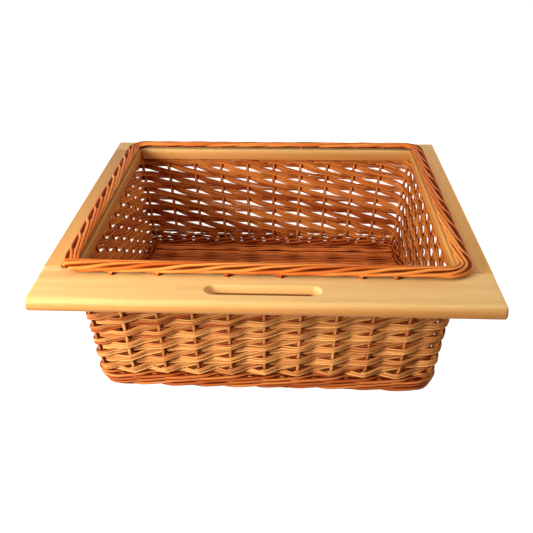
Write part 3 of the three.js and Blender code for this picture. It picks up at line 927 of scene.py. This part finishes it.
# Painted shade: the border's core is coloured near black for the shade in the gaps between its rods.
CORE_PAINTED_SHADE_TONE = -0.4  # darker than any rod
# Degrees of a rod's angle, on the sides and elsewhere: at its start, per stake space and in its leap.
BORDER_ANGLES = ((-25, -30), (27, 31), (45, 30))
PLAIT_STATIONS, PART_STATIONS = 72, 48  # rows of points along a whole rod, a part
SIDE_SHORT, FRONT_EARLY = 0.15, 0.04  # stake spaces before the corner, where the parts end and start
FRONT_LATER = 0.16  # for a rod that is new at the corner
SINK, SINK_BETWEEN = 0.7, (-0.6, -0.1)  # share of its height that an end loses, and where


def border_halves():
    """Half the width and half the height over which the middles of the border's rods wind."""
    border = settings("border")
    return border.width / 2 - border.rod_radius, border.height / 2 - border.rod_radius


def border_rods(chance, first, travelled, only_side=None, sunk=0):
    """Rods of the plait, each from its first stake over the stake spaces that it has travelled.

    A rod winds round the border's middle line. Its angle starts low outside, grows steadily, leaps further
    where it crosses the top, later and more so on the sides, and ends low inside. Its offset is half the
    width times cos angle, and its height half the height times (1 + sin angle), drawn in at the rod's ends
    and less what it is sunk. The border is fuller in front by a cosine round the ring. From the front left
    corner on it is heaped and thicker, fading by e every few stakes.
    """
    wall, border = settings("wall"), settings("border")
    count, half_front = stake_count(), wall.spaces_across / 2
    corner = count - half_front
    across, up = border_halves()
    share = travelled / border.spaces_travelled
    middle = np.mod(first[:, None] + 2, count / 2)
    on_side = (middle > half_front) & (middle < count / 2 - half_front)
    crossing = CROSSING + 0.3 * (chance[0, first] - 0.5)
    leap = smooth_step(travelled, crossing + np.where(on_side, 0.25, 0), crossing + 1)
    lowest, per_space, leaping = (np.where(on_side, *pair) for pair in BORDER_ANGLES)
    angle = np.radians(lowest + per_space * travelled + leaping * leap)
    tuck = 1 - 0.35 * np.clip((share - 0.85) / 0.15, 0, 1) - 0.3 * np.clip((0.12 - share) / 0.12, 0, 1)
    out = across * tuck * (1 + 0.05 * np.sin(9 * share + 7 * chance[1, first])) * np.cos(angle)
    stakes = first[:, None] + travelled
    heap = np.where(stakes < corner, 0, np.exp((corner - stakes) / HEAP_LENGTH))
    fuller = 1 + FULLER_IN_FRONT * np.cos(2 * np.pi * stakes / count) + HEAP * heap
    rise = up * fuller * (1 + tuck * np.sin(angle))
    heights = rail_top() + border.rod_radius + rise * (1 - sunk)
    points, outward = wall_places(stakes, heights, out, border.corner_less, only_side)
    facing = outward * np.cos(angle)[..., None] + UP * np.sin(angle)[..., None]
    radius = border.rod_radius * (0.92 + 0.16 * chance[2, first]) * (1.08 - 0.2 * share)
    tones = 0.2 + 0.6 * chance[3, first, 0]
    return rods(points, facing, radius * (1 + HEAP_THICKER * heap), tones, sides=9)


def plait(chance):
    """Blocks of the plait: whole rods, and in two parts each, the rods that meet the front left corner.

    The first part runs straight along the left side, sinks and ends at the corner. There the second starts
    and runs straight along the front.
    """
    spaces, first = settings("border").spaces_travelled, np.arange(stake_count())
    corner = len(first) - settings("wall").spaces_across / 2
    meets = (first < corner) & (first + spaces > corner)
    whole = border_rods(chance, first[~meets], np.linspace(0, spaces, PLAIT_STATIONS)[None])
    parted, part = first[meets], np.linspace(0, 1, PART_STATIONS)
    before = corner - parted[:, None]
    ending = before - SIDE_SHORT
    sunk = SINK * smooth_step(ending * (part - 1), *SINK_BETWEEN)
    onward = before - FRONT_EARLY + FRONT_LATER * np.clip(2 - before, 0, 1)
    side_run = border_rods(chance, parted, ending * part, LEFT, sunk)
    front_run = border_rods(chance, parted, onward + (spaces - onward) * part, FRONT)
    return [whole, side_run, front_run]


def border_shaded_core():
    """A ring along the border's middle line, low between the rods, painted near black as the shade in the
    gaps between them.
    """
    count, up = stake_count(), border_halves()[1]
    stakes = np.linspace(0, count, 6 * count + 1)
    less = settings("border").corner_less
    points, outward = wall_places(stakes[None], rail_top() + 1.2 * up, 0, less)
    return rods(points, outward, up, np.full(1, CORE_PAINTED_SHADE_TONE), sides=8)


def cut_ends(chance):
    """Short cut rod ends on the rails, out from the border's foot beside about two stakes of three."""
    border, across = settings("border"), border_halves()[0]
    share = np.linspace(0, 1, 4)
    cut = np.flatnonzero(chance[4] > 0.35)
    stakes = cut[:, None] + 0.35 * chance[1, cut] + 0.1 * share
    out = across - 1 * MM + border.nub_length * (0.5 + 0.7 * chance[4, cut]) * share
    points, _ = wall_places(stakes, rail_top() + 0.8 * border.rod_radius, out, border.corner_less)
    return rods(points, UP, 0.75 * border.rod_radius, chance[3, cut, 0], sides=8)


class BASKET_OT_border(bpy.types.Operator):
    """Plait the border: from each stake a rod runs along the outside, over the top and down inside"""

    bl_idname = "basket.border"
    bl_label = "Border"

    def execute(self, context):
        chance = spread(51, (5, stake_count(), 1))
        blocks = [*plait(chance), border_shaded_core(), cut_ends(chance)]
        material = willow("willow_border", "border", 0.36)
        mesh_piece("border_plait", blocks, material, ["border"])
        return {"FINISHED"}


# Stage

FRAME_PIXELS = 533  # width that the focal length is counted in
WORLD_TINT, WORLD_STRENGTH = (1, 0.84, 0.66, 1), 0.05
FLOOR_COLOUR, FLOOR_GLOW = (0.3, 0.29, 0.28, 1), 0.93
FLOOR_SIDES, FLOOR_DROP = 96, 0.5 * MM
SOFT_WHITE, WARM_WHITE = (1, 0.97, 0.93), (1, 0.95, 0.88)
LAMPS = (
    # name, place, target, size, watts and tint
    ("key", (-0.66, -0.68, 0.43), (0, 0, 0.1), 0.36, 14, SOFT_WHITE),
    ("high_left", (-0.5, -0.5, 1.2), (0, 0, 0.1), 0.4, 4, SOFT_WHITE),
    ("high_right", (0.6, 0.1, 1.2), (0, 0, 0.1), 0.6, 2.7, SOFT_WHITE),
    ("low_right", (1.0, 0.25, 0.5), (-0.2, 0, 0.12), 0.5, 4.5, WARM_WHITE),
    ("low_back", (0.2, 1.1, 0.08), (0, 0.2, 0.08), 0.14, 6, WARM_WHITE),
)


def lamp(name, place, target, size, watts, tint):
    """A square area light at a place, aimed at a target."""
    light = bpy.data.lights.new(name, "AREA")
    light.size = size
    light.energy = watts
    light.color = tint
    holder = placed(name, light)
    holder.location = place
    aim = np.array(target) - np.array(place)
    tilt = math.acos(-aim[2] / np.linalg.norm(aim))
    holder.rotation_euler = (tilt, 0, math.atan2(aim[1], aim[0]) - math.pi / 2)


def white_to_camera(tree, shown, lit, output):
    """Sends one shader to the camera, mirrored and clear rays, and another to all the rest."""
    rays = add_node(tree, "LightPath").outputs
    path = rays["Is Camera Ray"]
    for kind in ("Is Glossy Ray", "Is Transmission Ray"):
        path = maths(tree, "MAXIMUM", path, rays[kind])
    both = add_node(tree, "MixShader", {0: path, 1: lit.outputs[0], 2: shown.outputs[0]})
    tree.links.new(both.outputs[0], tree.nodes[output].inputs["Surface"])


def surroundings():
    """A world that the camera sees white and that lights the object faintly."""
    world = bpy.data.worlds.new("studio")
    world.use_nodes = True
    bpy.context.scene.world = world
    tree = world.node_tree
    lit = tree.nodes["Background"]
    lit.inputs["Color"].default_value = WORLD_TINT
    lit.inputs["Strength"].default_value = WORLD_STRENGTH
    shown = add_node(tree, "Background", {"Color": (*WHITE, 1), "Strength": 1.0})
    white_to_camera(tree, shown, lit, "World Output")


def round_floor(radius):
    """A flat disc just under the object, almost white to the camera but for shadows."""
    material, tree, lit = new_material("pale_floor", gloss=0.5)
    lit.inputs["Base Color"].default_value = FLOOR_COLOUR
    lit.inputs["Roughness"].default_value = 0.9
    glow = add_node(tree, "Emission", {"Color": (*WHITE, 1), "Strength": FLOOR_GLOW})
    shown = add_node(tree, "AddShader", {0: glow.outputs[0], 1: lit.outputs[0]})
    white_to_camera(tree, shown, lit, "Material Output")
    angle = np.arange(FLOOR_SIDES) / FLOOR_SIDES * 2 * np.pi
    ring = xyz(np.cos(angle), np.sin(angle), 0) * radius
    mesh = bpy.data.meshes.new("floor")
    mesh.from_pydata(ring - FLOOR_DROP * UP, [], [range(FLOOR_SIDES)])
    mesh.materials.append(material)
    return placed("floor", mesh)


def camera_of(stage):
    """A camera turned by its yaw, pitch and roll, with its lens from the focal length in pixels."""
    camera = bpy.data.cameras.new("camera")
    camera.sensor_width = 36
    camera.lens = stage.focal_pixels / FRAME_PIXELS * camera.sensor_width
    camera.shift_x, camera.shift_y = stage.camera_shift
    holder = placed("camera", camera)
    yaw = Matrix.Rotation(stage.camera_yaw, 4, "Z")
    pitch = Matrix.Rotation(math.pi / 2 - stage.camera_pitch, 4, "X")
    roll = Matrix.Rotation(stage.camera_roll, 4, "Z")
    holder.matrix_world = Matrix.Translation(stage.camera_place) @ (yaw @ pitch @ roll)
    return holder


class BASKET_OT_stage(bpy.types.Operator):
    """Set up the floor, the lights, the white surroundings and the camera"""

    bl_idname = "basket.stage"
    bl_label = "Stage"

    def execute(self, context):
        stage = settings("stage")
        surroundings()
        floor = round_floor(stage.floor_radius)
        for values in LAMPS:
            lamp(*values)
        context.scene.camera = camera_of(stage)
        context.scene.view_settings.view_transform = "Standard"
        return {"FINISHED"}


class BASKET_PT_panel(bpy.types.Panel):
    """Sizes, colours and building steps of the basket"""

    bl_label = "Pull-out Basket"
    bl_idname = "BASKET_PT_panel"
    bl_space_type = "VIEW_3D"
    bl_region_type = "UI"
    bl_category = "Basket"

    def draw(self, context):
        for name in GROUPS:
            box = self.layout.box()
            box.label(text=name.capitalize())
            for key in settings(name).__annotations__:
                box.prop(settings(name), key)
        for operator in OPERATORS:
            self.layout.operator(operator.bl_idname)


WEAVING = (BASKET_OT_base, BASKET_OT_stakes, BASKET_OT_wale, BASKET_OT_weavers, BASKET_OT_border)
OPERATORS = (BASKET_OT_rails, *WEAVING, BASKET_OT_stage)
GROUPS = {"rails": BasketRails, "wall": BasketWall, "base": BasketBase}
GROUPS.update({"border": BasketBorder, "finish": BasketFinish, "stage": BasketStage})
CLASSES = (*GROUPS.values(), *OPERATORS, BASKET_PT_panel)


def register():
    """Register the classes and give the scene its property groups."""
    for made in CLASSES:
        bpy.utils.register_class(made)
    for name, group in GROUPS.items():
        setattr(bpy.types.Scene, "basket_" + name, bpy.props.PointerProperty(type=group))


def unregister():
    """Take the property groups and the classes away again."""
    for name in GROUPS:
        delattr(bpy.types.Scene, "basket_" + name)
    for made in reversed(CLASSES):
        bpy.utils.unregister_class(made)


def main():
    """Build the basket and its stage."""
    register()
    bpy.ops.basket.rails()
    bpy.ops.basket.base()
    bpy.ops.basket.stakes()
    bpy.ops.basket.wale()
    bpy.ops.basket.weavers()
    bpy.ops.basket.border()
    bpy.ops.basket.stage()
    bpy.context.view_layer.update()


if __name__ == "__main__":
    main()
